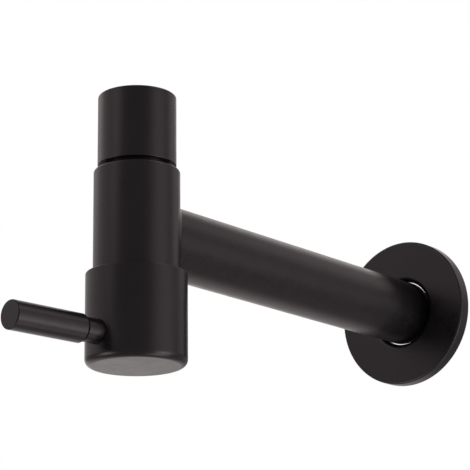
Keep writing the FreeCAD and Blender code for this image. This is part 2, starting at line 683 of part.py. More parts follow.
def make_handle_cap():
    """Handle with a skirt round the body and a solid block over the spindle."""
    body = new_body("handle_cap", turn="lever_turn")
    room_r = "(gland_radius + block_gap)"
    turn_outline(body, "bell", "XZ_Plane", [
        ("0", CROWN_Z),
        ("0", HANDLE_TOP),
        (HANDLE_R, HANDLE_TOP),
        (HANDLE_R, f"{SKIRT_Z} + skirt_chamfer"),
        (f"{HANDLE_R} - skirt_chamfer", SKIRT_Z),
        (SKIRT_BORE, SKIRT_Z),
        (SKIRT_BORE, BLOCK_Z),
        (room_r, BLOCK_Z),
        (room_r, SPLINE_Z),
        (f"{SPLINE_ROOT} + fit_gap", SPLINE_Z),
        (f"{SPLINE_ROOT} + fit_gap", CROWN_Z),
    ])
    round_edges(body, "crown_edge", "crown_round", circle_edge(HANDLE_R, HANDLE_TOP))
    teeth = polar_points(["(spline_radius + fit_gap)", f"({SPLINE_ROOT} + fit_gap)"],
                         2 * TOOTH_COUNT, phase="-lever_turn")
    cut_outline(body, "spline_bore", "XY_Plane", [outline(teeth)],
                depth="spline_length + spline_room", lift=CROWN_Z)
    cut_outline(body, "stud_hole", "XZ_Plane", [circle("stud_radius + fit_gap", y=LEVER_Z)],
                depth=f"{HANDLE_R} * 2", lift=HANDLE_R)
    cut_outline(body, "neck_seat", "XZ_Plane", [circle(f"{NECK_R} + fit_gap", y=LEVER_Z)],
                depth=HANDLE_R, lift=NECK_D, backwards=True)


def make_lever_pin():
    """Lever bar with a chamfered shoulder and a thinner neck, along -Y."""
    body = new_body("lever_pin", turn="lever_turn", height=LEVER_Z)
    stud_hole = "(stud_radius + fit_gap)"
    hole_end = f"-({NECK_D}) - stud_grip - fit_gap"
    turn_outline(body, "bar", "XY_Plane", [
        (stud_hole, f"-{NECK_D}"),
        (NECK_R, f"-{NECK_D}"),
        (NECK_R, f"-{SHOULDER_D} + neck_line"),
        (f"{NECK_R} - neck_line", f"-{SHOULDER_D} + neck_line"),
        (f"{NECK_R} - neck_line", f"-{SHOULDER_D}"),
        (NECK_R, f"-{SHOULDER_D}"),
        ("lever_radius", f"-{SHOULDER_D} - neck_step"),
        ("lever_radius", f"-{TIP_D} + tip_chamfer"),
        ("lever_radius - tip_chamfer", f"-{TIP_D}"),
        ("0", f"-{TIP_D}"),
        ("0", hole_end),
        (stud_hole, hole_end),
    ])


def make_lever_stud():
    """Threaded stud that holds the lever in the handle's block."""
    body = new_body("lever_stud", turn="lever_turn", height=LEVER_Z)
    inner = "-(spline_radius + fit_gap + stud_clear)"
    outer = f"-{NECK_D} - stud_grip"
    turn_outline(body, "rod", "XY_Plane", [
        ("0", inner),
        ("stud_radius - stud_clear", inner),
        ("stud_radius", f"{inner} - stud_clear"),
        ("stud_radius", outer),
        ("0", outer),
    ])


def make_grub_screw():
    """Grub screw at the back of the handle that clamps it on the spindle."""
    body = new_body("handle_grub_screw", turn="lever_turn", height=LEVER_Z)
    inner = "(spline_radius + fit_gap)"
    outer = f"({inner} + grub_length)"
    turn_outline(body, "rod", "XY_Plane", [
        ("0", inner),
        ("stud_radius - stud_clear", inner),
        ("stud_radius", f"{inner} + stud_clear"),
        ("stud_radius", outer),
        ("0", outer),
    ])
    corner = "grub_hex / 2 / cos(30deg)"
    cut_outline(body, "key_socket", "XZ_Plane", [outline(polar_points([corner], HEXAGON_SIDES))],
                depth="grub_hex_depth", lift=f"-{outer}", backwards=True)


def make_outlet_sleeve():
    """Outlet sleeve, screwed into the body, with the aerator's chamber."""
    body = new_body("outlet_sleeve")
    turn_outline(body, "tube", "XZ_Plane", [
        (NECK_BORE, NECK_TOP),
        (OUTLET_R, NECK_TOP),
        (OUTLET_R, f"{SLEEVE_TOP} + shadow_gap + relief_height"),
        (f"{OUTLET_R} - relief_step", f"{SLEEVE_TOP} + shadow_gap + relief_height"),
        (f"{OUTLET_R} - relief_step", SLEEVE_TOP),
        (f"{SLEEVE_R} - sleeve_chamfer", SLEEVE_TOP),
        (SLEEVE_R, f"{SLEEVE_TOP} - sleeve_chamfer"),
        (SLEEVE_R, SLEEVE_LOW),
        (SLEEVE_BORE, SLEEVE_LOW),
        (SLEEVE_BORE, WASHER_TOP),
        (NECK_BORE, WASHER_TOP),
    ])
    round_edges(body, "outlet_edge", "sleeve_round", circle_edge(SLEEVE_R, SLEEVE_LOW))


def make_outlet_gasket():
    """Flat washer between the sleeve's neck and the body's web."""
    body = new_body("outlet_gasket")
    turn_outline(body, "ring", "XZ_Plane", [
        (NECK_BORE, NECK_TOP),
        (OUTLET_R, NECK_TOP),
        (OUTLET_R, WEB_UNDER),
        (NECK_BORE, WEB_UNDER),
    ])


def make_aerator_washer():
    """Washer between the aerator insert and the sleeve's shoulder."""
    body = new_body("aerator_washer")
    turn_outline(body, "ring", "XZ_Plane", [
        (f"{INSERT_R} - washer_width", INSERT_TOP),
        (INSERT_R, INSERT_TOP),
        (INSERT_R, WASHER_TOP),
        (f"{INSERT_R} - washer_width", WASHER_TOP),
    ])


def make_aerator_housing():
    """Threaded insert that holds screen, diffuser and straightener, with key notches."""
    body = new_body("aerator_housing")
    lip = f"({INSERT_BORE} - lip_width)"
    turn_outline(body, "shell", "XZ_Plane", [
        (lip, INSERT_LOW),
        (INSERT_R, INSERT_LOW),
        (INSERT_R, INSERT_TOP),
        (INSERT_BORE, INSERT_TOP),
        (INSERT_BORE, STRAIGHTENER_Z),
        (lip, STRAIGHTENER_Z),
    ])
    slot = rectangle(f"{lip} - lip_width", INSERT_BORE, "-notch_width / 2", "notch_width / 2")
    notch = cut_outline(body, "notch", "XY_Plane", [slot], depth="notch_depth", lift=INSERT_LOW, backwards=True)
    repeat_round(body, notch, "notches", NOTCH_COUNT)


def drill_rings(body, rings, pitch, dia, low, height):
    """Drill a middle hole and rings of holes, six more in each ring than in the last."""
    top = f"{low} + {height}"
    cut_outline(body, "middle_hole", "XY_Plane", [circle(f"{dia} / 2")], depth=height, lift=top)
    for ring in range(1, rings + 1):
        hole = cut_outline(body, f"hole_{ring}", "XY_Plane", [circle(f"{dia} / 2", x=f"{ring} * {pitch}")],
                           depth=height, lift=top)
        repeat_round(body, hole, f"ring_{ring}", HEXAGON_SIDES * ring)


def make_flow_straightener():
    """Plate of parallel cells at the outlet."""
    body = new_body("flow_straightener")
    raise_outline(body, "plate", "XY_Plane", [circle(INLAY_R)],
                  height="straightener_height", lift=STRAIGHTENER_Z)
    drill_rings(body, CELL_RING_COUNT, "cell_pitch", "cell_dia", STRAIGHTENER_Z, "straightener_height")


def make_aerator_diffuser():
    """Diffuser plate on its rim, with two rings of jets."""
    body = new_body("aerator_diffuser")
    plate_z = f"({SPACER_Z} + spacer_height)"
    turn_outline(body, "plate", "XZ_Plane", [
        ("0", plate_z),
        (f"{INLAY_R} - rim_width", plate_z),
        (f"{INLAY_R} - rim_width", SPACER_Z),
        (INLAY_R, SPACER_Z),
        (INLAY_R, SCREEN_Z),
        ("0", SCREEN_Z),
    ])
    rings = (("inner", "jet_inner", INNER_JET_COUNT), ("outer", "jet_outer", OUTER_JET_COUNT))
    for name, spot, count in rings:
        jet = cut_outline(body, f"{name}_jet", "XY_Plane", [circle("jet_dia / 2", x=spot)],
                          depth="diffuser_height", lift=SCREEN_Z)
        repeat_round(body, jet, f"{name}_jets", count)


def make_inlet_screen():
    """Fine screen in a rim on top of the diffuser."""
    body = new_body("inlet_screen")
    turn_outline(body, "plate", "XZ_Plane", [
        ("0", SCREEN_Z),
        (INLAY_R, SCREEN_Z),
        (INLAY_R, INSERT_TOP),
        (f"{INLAY_R} - rim_width", INSERT_TOP),
        (f"{INLAY_R} - rim_width", f"{SCREEN_Z} + screen_sheet"),
        ("0", f"{SCREEN_Z} + screen_sheet"),
    ])
    drill_rings(body, SCREEN_RING_COUNT - 1, "screen_pitch", "screen_hole", SCREEN_Z, "screen_sheet")


def check_and_write():
    """Stop at anything that failed, then write one file for each piece."""
    document.recompute()
    for item in document.Objects:
        broken = [state for state in item.State if state in ("Invalid", "Error")]
        if broken:
            raise RuntimeError(f"{item.Label}: {broken}")
    for piece in pieces:
        if piece.Shape.isNull() or not piece.Shape.isValid():
            raise RuntimeError(f"{piece.Label}: no valid shape")
    os.makedirs("parts", exist_ok=True)
    for piece in pieces:
        solids = len(piece.Shape.Solids)
        print(f"{piece.Label}: {solids} solid, {piece.Shape.Volume:.1f} mm3")
        piece.Shape.exportStep(os.path.join("parts", f"{piece.Label}.step"))


make_supply_arm()
make_inlet_tail()
make_rosette()
make_tap_body()
make_cartridge_housing()
make_seat_gasket()
make_fixed_disc()
make_turning_disc()
make_glide_ring()
make_spindle()
make_circlip()
make_seals()
make_handle_cap()
make_lever_pin()
make_lever_stud()
make_grub_screw()
make_outlet_sleeve()
make_outlet_gasket()
make_aerator_washer()
make_aerator_housing()
make_flow_straightener()
make_aerator_diffuser()
make_inlet_screen()
check_and_write()
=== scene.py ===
"""Looks of a wall-mounted cold water tap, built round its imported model.

Sizes in the classes are in millimetres and are turned into metres when a mesh is made.
The origin is where the arm's axis meets the wall, +Y runs into the wall and +Z is up.
"""

import json
import logging
import math
from dataclasses import dataclass
from enum import Enum
from functools import partial
from typing import ClassVar

import bmesh
import bpy
from mathutils import Matrix, Vector


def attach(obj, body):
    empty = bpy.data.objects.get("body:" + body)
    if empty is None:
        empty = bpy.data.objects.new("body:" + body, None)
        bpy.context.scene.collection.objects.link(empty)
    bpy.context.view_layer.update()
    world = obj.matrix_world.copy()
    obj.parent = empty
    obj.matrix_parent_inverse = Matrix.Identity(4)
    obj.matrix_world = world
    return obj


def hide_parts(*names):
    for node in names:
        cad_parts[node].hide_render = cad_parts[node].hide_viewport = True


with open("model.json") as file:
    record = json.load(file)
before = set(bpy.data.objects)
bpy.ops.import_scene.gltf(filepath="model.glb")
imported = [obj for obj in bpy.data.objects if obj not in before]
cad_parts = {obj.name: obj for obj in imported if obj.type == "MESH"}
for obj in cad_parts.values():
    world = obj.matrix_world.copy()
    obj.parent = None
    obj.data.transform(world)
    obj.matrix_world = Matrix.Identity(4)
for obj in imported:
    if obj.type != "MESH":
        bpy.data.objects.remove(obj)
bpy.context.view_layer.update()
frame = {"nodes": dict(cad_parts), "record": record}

Pair = tuple[float, float]
Triple = tuple[float, float, float]
Outline = list[Pair]

LOG = logging.getLogger("tap")
MM = 0.001
# Places nearer than this, in millimetres, count as one
CLOSE = 0.001
# From the wall to the valve's axis
PROJECTION = 160.0
LEVER_HEIGHT = 37.5
LEVER_TURN = math.radians(6.0)
SHARP_ANGLE = math.radians(34.0)
QUARTER_TURN = math.radians(90.0)
# Half the angle that one side of a hexagon takes up
HALF_SIDE = math.radians(30.0)
NORMAL_WEIGHT = 80
# Most of a noise's values lie between these
NOISE_RANGE = (0.3, 0.7)
# How far a cutter reaches past the surface that it opens
CUT_PAST = 1.0
WHITE = (1.0, 1.0, 1.0, 1.0)


class Body(Enum):
    """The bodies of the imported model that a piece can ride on."""

    TAP = "tap"
    HANDLE = "handle"
    ROSETTE = "rosette"


class Slot(Enum):
    """Material slots of the record."""

    COATING = "black_coating"
    BRASS = "raw_brass"
    STEEL = "steel"
    CERAMIC = "ceramic"
    RUBBER = "rubber"
    PLASTIC = "plastic"


class Lie(Enum):
    """How a turned piece lies in the tap."""

    UPRIGHT = "on the valve's axis"
    ALONG_ARM = "on the arm's axis"
    ALONG_LEVER = "on the lever's axis"

    def placement(self) -> Matrix:
        """Return the matrix that lays a piece turned about Z.

        Returns:
            A matrix in millimetres whose Z axis is the axis of the piece.
        """
        if self is Lie.UPRIGHT:
            return Matrix.Translation((0.0, -PROJECTION, 0.0))
        if self is Lie.ALONG_ARM:
            return Matrix.Rotation(-QUARTER_TURN, 4, "X")
        swing = Matrix.Rotation(LEVER_TURN, 4, "Z")
        tip_over = Matrix.Rotation(QUARTER_TURN, 4, "X")
        return Matrix.Translation((0.0, -PROJECTION, LEVER_HEIGHT)) @ swing @ tip_over


@dataclass(frozen=True)
class Corner:
    """One corner of a turned outline: radius, place along the axis and rounding."""

    radius: float
    along: float
    bend: float = 0.0


def round_corners(corners: list[Corner], steps: int) -> Outline:
    """Replace each rounded corner of a closed outline with an arc.

    Args:
        corners: The outline's corners, in order.
        steps: Straight pieces in one arc.

    Returns:
        Points of (radius, along) round the whole outline.
    """
    points: Outline = []
    places = [Vector((corner.radius, corner.along)) for corner in corners]
    for index, (corner, here) in enumerate(zip(corners, places)):
        if corner.bend <= 0.0:
            points.append((here.x, here.y))
            continue
        before = (places[index - 1] - here).normalized()
        after = (places[(index + 1) % len(places)] - here).normalized()
        half = before.angle(after) / 2.0
        reach = corner.bend / math.tan(half)
        middle = here + (before + after).normalized() * (corner.bend / math.sin(half))
        start = here + before * reach - middle
        turn = before.angle_signed(after)
        sweep = -(math.pi - abs(turn)) if turn > 0.0 else math.pi - abs(turn)
        for step in range(steps + 1):
            angle = -sweep * step / steps
            cosine, sine = math.cos(angle), math.sin(angle)
            points.append((middle.x + start.x * cosine - start.y * sine,
                           middle.y + start.x * sine + start.y * cosine))
    return points


def finish_mesh(name: str, form: bmesh.types.BMesh) -> bpy.types.Object:
    """Turn a mesh in millimetres into a smooth shaded object in metres.

    Args:
        name: Name of the new object.
        form: The mesh, which is freed.

    Returns:
        The object, linked to the scene.
    """
    bmesh.ops.scale(form, vec=(MM, MM, MM), verts=form.verts)
    bmesh.ops.recalc_face_normals(form, faces=form.faces)
    mark_sharp(form)
    mesh = bpy.data.meshes.new(name)
    form.to_mesh(mesh)
    form.free()
    piece = bpy.data.objects.new(name, mesh)
    bpy.context.scene.collection.objects.link(piece)
    return piece


def mark_sharp(form: bmesh.types.BMesh) -> None:
    """Shade all faces smooth and mark the edges that turn by more than the sharp angle.

    Args:
        form: The mesh.
    """
    for face in form.faces:
        face.smooth = True
    for edge in form.edges:
        edge.smooth = len(edge.link_faces) == 2 and edge.calc_face_angle(0.0) < SHARP_ANGLE


def even_normals(piece: bpy.types.Object) -> None:
    """Let large faces decide the shading next to small edge rounds.

    Args:
        piece: The object that gets the modifier.
    """
    modifier = piece.modifiers.new("even_normals", "WEIGHTED_NORMAL")
    modifier.keep_sharp = True
    modifier.weight = NORMAL_WEIGHT


def skin_rings(form: bmesh.types.BMesh, rings: list[list[Vector]], closed: bool) -> None:
    """Join rings of points to a surface.

    Args:
        form: The mesh that gets the surface.
        rings: Rings with the same number of points, or with one point at a pole.
        closed: Whether the last ring joins the first.
    """
    made = [[form.verts.new(point) for point in ring] for ring in rings]
    pairs = list(zip(made, made[1:]))
    if closed:
        pairs.append((made[-1], made[0]))
    for low, high in pairs:
        if len(low) == 1 and len(high) == 1:
            continue
        count = max(len(low), len(high))
        for index in range(count):
            following = (index + 1) % count
            if len(low) == 1:
                form.faces.new((low[0], high[following], high[index]))
            elif len(high) == 1:
                form.faces.new((low[index], low[following], high[0]))
            else:
                form.faces.new((low[index], low[following], high[following], high[index]))


def spaced(low: float, high: float, count: int) -> list[float]:
    """Return places at even distances from one end to the other."""
    return [low + (high - low) * step / count for step in range(count + 1)]


@dataclass(frozen=True)
class Zone:
    """A stretch of a turned piece's surface that gets a relief."""

    radius: float
    low: float
    high: float

    def holds(self, radius: float, along: float) -> bool:
        """Tell whether a place of the plain surface lies in the stretch."""
        return abs(radius - self.radius) < CLOSE and self.low - CLOSE < along < self.high + CLOSE

    def pace(self) -> float:
        """Return the distance between rings along the stretch."""
        return self.high - self.low

    def places(self) -> list[float]:
        """Return the places of the rings along the stretch."""
        return spaced(self.low, self.high, round((self.high - self.low) / self.pace()))

    def shape(self, angle: float, along: float) -> float:
        """Return the radius of the finished surface at an angle and a place."""
        return self.radius


@dataclass(frozen=True)
class Thread(Zone):
    """Screw thread with rounded crests that runs out at both ends."""

    pitch: float = 1.814
    depth: float = 1.16
    run_out: float = 1.2
    samples: int = 10
    flat: float = 0.08

    def pace(self) -> float:
        """Return the distance between rings along the thread."""
        return self.pitch / self.samples

    def shape(self, angle: float, along: float) -> float:
        """Return the thread's radius.

        Args:
            angle: Angle round the axis.
            along: Place along the axis.

        Returns:
            The radius in millimetres.
        """
        phase = (along / self.pitch - angle / (2.0 * math.pi)) % 1.0
        slope = (abs(phase * 2.0 - 1.0) - self.flat) / (1.0 - 2.0 * self.flat)
        rounded = 0.5 - 0.5 * math.cos(math.pi * min(1.0, max(0.0, slope)))
        fade = min(1.0, max(0.0, min(along - self.low, self.high - along) / self.run_out))
        return self.radius - self.depth * rounded * fade


ScrewThread = partial(Thread, pitch=0.8, depth=0.42, run_out=0.3, samples=8)
OutletThread = partial(Thread, pitch=1.0, depth=0.6, run_out=0.5, samples=8)


@dataclass(frozen=True)
class Hexagon(Zone):
    """Six flats for a spanner, with corners bevelled at both ends."""

    flats: float
    bevel: float = 0.6
    bevel_rings: int = 3

    def pace(self) -> float:
        """Return the distance between rings along the flats."""
        return self.bevel / self.bevel_rings

    def shape(self, angle: float, along: float) -> float:
        """Return the radius of the flats.

        Args:
            angle: Angle round the axis.
            along: Place along the axis.

        Returns:
            The radius in millimetres.
        """
        aside = (angle + HALF_SIDE) % (2.0 * HALF_SIDE) - HALF_SIDE
        from_end = min(along - self.low, self.high - along)
        limit = self.radius - max(0.0, self.bevel - from_end)
        return min(self.flats / 2.0 / math.cos(HALF_SIDE - abs(aside)), limit)


@dataclass
class Turned:
    """A piece turned on a lathe from a closed outline."""

    name: str
    corners: list[Corner]
    lie: Lie
    segments: int
    steps: int = 6
    zones: tuple[Zone, ...] = ()

    def stations(self) -> Outline:
        """Find the places of the rings, close together where a stretch has a relief.

        Returns:
            Points of (radius, along) round the whole outline.
        """
        points = round_corners(self.corners, self.steps)
        result: Outline = []
        for index, (radius, along) in enumerate(points):
            result.append((radius, along))
            next_radius, next_along = points[(index + 1) % len(points)]
            for zone in self.zones:
                if abs(next_radius - radius) > CLOSE or abs(radius - zone.radius) > CLOSE:
                    continue
                between = [place for place in zone.places()
                           if (place - along) * (place - next_along) < -CLOSE]
                result += [(radius, place) for place in sorted(between, reverse=next_along < along)]
        return result

    def ring(self, radius: float, along: float) -> list[Vector]:
        """Make one ring.

        Args:
            radius: Its radius on the plain surface.
            along: Its place along the axis.

        Returns:
            Its points, or the single point of a pole.
        """
        if radius < CLOSE:
            return [Vector((0.0, 0.0, along))]
        zone = next((zone for zone in self.zones if zone.holds(radius, along)), None)
        points = []
        for index in range(self.segments):
            angle = 2.0 * math.pi * index / self.segments
            reach = zone.shape(angle, along) if zone else radius
            points.append(Vector((*around(reach, angle), along)))
        return points

    def build(self) -> bpy.types.Object:
        """Make the piece.

        Returns:
            The new object, in metres.
        """
        form = bmesh.new()
        skin_rings(form, [self.ring(radius, along) for radius, along in self.stations()], closed=True)
        bmesh.ops.transform(form, matrix=self.lie.placement(), verts=form.verts)
        return finish_mesh(self.name, form)


def around(radius: float, angle: float) -> Pair:
    """Return a point at a radius and an angle."""
    return radius * math.cos(angle), radius * math.sin(angle)


def over_corners(flats: float) -> float:
    """Return a hexagon's radius at its corners for a width over its flats."""
    return flats / 2.0 / math.cos(HALF_SIDE)


def hexagon(flats: float) -> Outline:
    """Return the corners of a hexagon with a width over its flats."""
    return [around(over_corners(flats), 2.0 * HALF_SIDE * index) for index in range(6)]


def star(tip: float, root: float, teeth: int) -> Outline:
    """Return the corners of a ring of pointed teeth."""
    turn = math.pi / teeth
    return [around(root if index % 2 else tip, turn * index) for index in range(2 * teeth)]


def bar(left: float, right: float, low: float, high: float, turn: float = 0.0) -> Outline:
    """Return the corners of a rectangle that is turned about the axis.

    Args:
        left: Lowest X before the turn.
        right: Highest X.
        low: Lowest Y.
        high: Highest Y.
        turn: The turn, in degrees.

    Returns:
        Its four corners.
    """
    cosine, sine = math.cos(math.radians(turn)), math.sin(math.radians(turn))
    corners = [(left, low), (right, low), (right, high), (left, high)]
    return [(x * cosine - y * sine, x * sine + y * cosine) for x, y in corners]


def sector(inner: float, outer: float, middle: float, opening: float, steps: int) -> Outline:
    """Return the outline of a piece of a ring.

    Args:
        inner: Inner radius.
        outer: Outer radius.
        middle: Direction of its middle, in degrees.
        opening: Its angle, in degrees.
        steps: Straight pieces of each arc.

    Returns:
        Points round the outline.
    """
    angles = [math.radians(middle + opening * (step / steps - 0.5)) for step in range(steps + 1)]
    near = [around(inner, angle) for angle in angles]
    return near + [around(outer, angle) for angle in reversed(angles)]


@dataclass
class Prism:
    """A straight bar with a given section, used to cut keys, ports and sockets."""

    name: str
    section: Outline
    low: float
    high: float
    lie: Lie

    def build(self) -> bpy.types.Object:
        """Make the bar.

        Returns:
            The new object, in metres.
        """
        form = bmesh.new()
        rings = [[Vector((x, y, along)) for x, y in self.section] for along in (self.low, self.high)]
        skin_rings(form, rings, closed=False)
        bmesh.ops.holes_fill(form, edges=form.edges)
        bmesh.ops.transform(form, matrix=self.lie.placement(), verts=form.verts)
        return finish_mesh(self.name, form)


def cut_away(piece: bpy.types.Object, form: Turned | Prism) -> None:
    """Cut a form out of a piece.

    Args:
        piece: The object that loses material.
        form: The form whose space is cut out.
    """
    cutter = form.build()
    modifier = piece.modifiers.new("cut", "BOOLEAN")
    modifier.object = cutter
    modifier.operation = "DIFFERENCE"
    modifier.solver = "EXACT"
    depsgraph = bpy.context.evaluated_depsgraph_get()
    cut_mesh = bpy.data.meshes.new_from_object(piece.evaluated_get(depsgraph))
    piece.modifiers.clear()
    old_mesh = piece.data
    cut_mesh.name = old_mesh.name
    piece.data = cut_mesh
    bpy.data.meshes.remove(old_mesh)
    bpy.data.objects.remove(cutter)
    joined = bmesh.new()
    joined.from_mesh(cut_mesh)
    bmesh.ops.remove_doubles(joined, verts=joined.verts, dist=CLOSE * MM)
    mark_sharp(joined)
    joined.to_mesh(cut_mesh)
    joined.free()


@dataclass(frozen=True)
class Grain:
    """A noise: size in millimetres, octaves, and a scale of each axis that draws it out."""

    size: float
    octaves: float
    stretch: Triple = (1.0, 1.0, 1.0)


class NodeBoard:
    """A node tree, with short ways to add nodes and to feed them."""

    def __init__(self, tree: bpy.types.NodeTree) -> None:
        """Take the tree."""
        self.tree = tree

    def feed(self, node: bpy.types.Node, inputs: dict[str | int, object]) -> None:
        """Feed a node's sockets.

        Args:
            node: The node.
            inputs: For a socket's name or number, its plain value or the output that is linked to it.
        """
        for name, value in inputs.items():
            if isinstance(value, bpy.types.NodeSocket):
                self.tree.links.new(value, node.inputs[name])
            else:
                node.inputs[name].default_value = value

    def add(self, kind: str, inputs: dict[str | int, object], **options: str) -> bpy.types.Node:
        """Add a node.

        Args:
            kind: Its type, without the common start of the names.
            inputs: What its sockets get.
            options: Its options.

        Returns:
            The new node.
        """
        node = self.tree.nodes.new("ShaderNode" + kind)
        for name, option in options.items():
            setattr(node, name, option)
        self.feed(node, inputs)
        return node

    def noise(self, grain: Grain) -> bpy.types.NodeSocket:
        """Add a noise that goes with the piece.

        Args:
            grain: Its size, octaves and stretch.

        Returns:
            The noise's value, mostly within the noise range.
        """
        place = self.add("TexCoord", {}).outputs["Object"]
        drawn = self.add("Mapping", {"Vector": place, "Scale": grain.stretch}).outputs["Vector"]
        return self.add("TexNoise", {"Vector": drawn, "Scale": 1.0 / (grain.size * MM),
                                     "Detail": grain.octaves}).outputs["Fac"]

    def spread(self, value: bpy.types.NodeSocket, ends: Pair) -> bpy.types.NodeSocket:
        """Map a noise to another range.

        Args:
            value: The noise.
            ends: Both ends of the range.

        Returns:
            The mapped value.
        """
        low, high = NOISE_RANGE
        return self.add("MapRange", {"Value": value, "From Min": low, "From Max": high,
                                     "To Min": ends[0], "To Max": ends[1]}).outputs["Result"]

    def blend(self, value: bpy.types.NodeSocket, dark: Triple, light: Triple) -> bpy.types.NodeSocket:
        """Blend two colours by a noise.

        Args:
            value: The noise.
            dark: Colour at its low end.
            light: Colour at its high end.

        Returns:
            The blended colour.
        """
        ramp = self.add("ValToRGB", {"Fac": value})
        for element, position, colour in zip(ramp.color_ramp.elements, NOISE_RANGE, (dark, light)):
            element.position = position
            element.color = (*colour, 1.0)
        return ramp.outputs["Color"]

    def bump(self, value: bpy.types.NodeSocket, depth: float) -> bpy.types.NodeSocket:
        """Use a noise as relief whose full height is a depth in millimetres."""
        return self.add("Bump", {"Height": value, "Distance": depth * MM}).outputs["Normal"]


@dataclass(frozen=True)
class Finish:
    """A finish with an uneven tone, an uneven gloss and a fine relief of some depth."""

    name: str
    dark: Triple
    light: Triple
    roughness: Pair
    tone: Grain
    gloss: Grain
    relief: Grain
    depth: float

    def make(self) -> bpy.types.Material:
        """Make the material.

        Returns:
            The new material.
        """
        material = bpy.data.materials.new(self.name)
        material.use_nodes = True
        board = NodeBoard(material.node_tree)
        board.feed(board.tree.nodes["Principled BSDF"], {
            "Base Color": board.blend(board.noise(self.tone), self.dark, self.light),
            "Roughness": board.spread(board.noise(self.gloss), self.roughness),
            "Normal": board.bump(board.noise(self.relief), self.depth),
            **self.even_values(),
        })
        return material

    def even_values(self) -> dict[str, object]:
        """Return the shader's values that are the same all over."""
        return {}


@dataclass(frozen=True)
class MatteCoating(Finish):
    """Matte black coating: faint cloudiness, fine grain, soft gloss with a slight cast."""

    name: str = "matte_black_coating"
    dark: Triple = (0.0062, 0.0058, 0.0069)
    light: Triple = (0.0082, 0.0077, 0.0092)
    roughness: Pair = (0.26, 0.31)
    tone: Grain = Grain(9.0, 4.0)
    gloss: Grain = Grain(4.5, 3.0)
    relief: Grain = Grain(0.16, 2.0)
    depth: float = 0.002
    cast: Triple = (1.0, 0.93, 0.985)
    ior: float = 1.5

    def even_values(self) -> dict[str, object]:
        """Return the strength of the gloss and its cast."""
        return {"IOR": self.ior, "Specular Tint": (*self.cast, 1.0)}


@dataclass(frozen=True)
class TurnedMetal(Finish):
    """Bare metal with faint stains and fine rings from the lathe."""

    roughness: Pair = (0.24, 0.36)
    tone: Grain = Grain(2.4, 5.0)
    gloss: Grain = Grain(1.1, 3.0)
    relief: Grain = Grain(0.22, 1.0, (0.05, 1.0, 1.0))
    depth: float = 0.004

    def even_values(self) -> dict[str, object]:
        """Return what makes the shader a metal."""
        return {"Metallic": 1.0}


FINISHES = {
    Slot.COATING: MatteCoating(),
    Slot.BRASS: TurnedMetal("turned_brass", (0.60, 0.42, 0.17), (0.74, 0.56, 0.27)),
    Slot.STEEL: TurnedMetal("plain_steel", (0.50, 0.50, 0.51), (0.63, 0.63, 0.64), (0.28, 0.4)),
    Slot.CERAMIC: Finish("lapped_ceramic", (0.80, 0.79, 0.75), (0.88, 0.87, 0.84), (0.12, 0.2),
                         Grain(2.4, 3.0), Grain(1.2, 2.0), Grain(0.3, 2.0), 0.001),
    Slot.RUBBER: Finish("seal_rubber", (0.016, 0.016, 0.017), (0.030, 0.030, 0.031), (0.5, 0.66),
                        Grain(0.96, 3.0), Grain(0.48, 2.0), Grain(0.12, 2.0), 0.006),
    Slot.PLASTIC: Finish("moulded_acetal", (0.46, 0.46, 0.45), (0.56, 0.56, 0.55), (0.34, 0.48),
                         Grain(1.6, 3.0), Grain(0.8, 2.0), Grain(0.2, 2.0), 0.004),
}


class Workshop:
    """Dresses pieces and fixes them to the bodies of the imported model."""

    def __init__(self) -> None:
        """Make one material for each slot."""
        self.materials = {slot: finish.make() for slot, finish in FINISHES.items()}
        self.dressed: set[str] = set()

    def mount(self, piece: bpy.types.Object, slot: Slot, body: Body, node: str) -> None:
        """Finish a new piece and let it stand for a node.

        Args:
            piece: The new piece, in place.
            slot: Its finish.
            body: The body it rides on.
            node: The node that it replaces.
        """
        even_normals(piece)
        piece.data.materials.append(self.materials[slot])
        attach(piece, body.value)
        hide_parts(node)
        self.dressed.add(node)
        LOG.info("%s stands for %s on body %s in %s", piece.name, node, body.value, slot.value)

    def dress_remaining(self) -> None:
        """Give every node that is still shown the finish of its slot."""
        for row in frame["record"]["subparts"]:
            if row["node"] in self.dressed:
                continue
            node = frame["nodes"][row["node"]]
            material = self.materials[Slot(row["material_slot"])]
            if not node.material_slots:
                node.data.materials.append(material)
            for place in node.material_slots:
                place.material = material
            LOG.info("%s keeps its solid in %s", row["node"], row["material_slot"])


class Piece:
    """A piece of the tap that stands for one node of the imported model."""

    slot: ClassVar[Slot] = Slot.COATING
    body: ClassVar[Body] = Body.TAP
    node: ClassVar[str]

    def build(self) -> bpy.types.Object:
        """Make the piece in its place, in metres."""
        raise NotImplementedError

    def install(self, shop: Workshop) -> None:
        """Build the piece and put it in."""
        shop.mount(self.build(), self.slot, self.body, self.node)


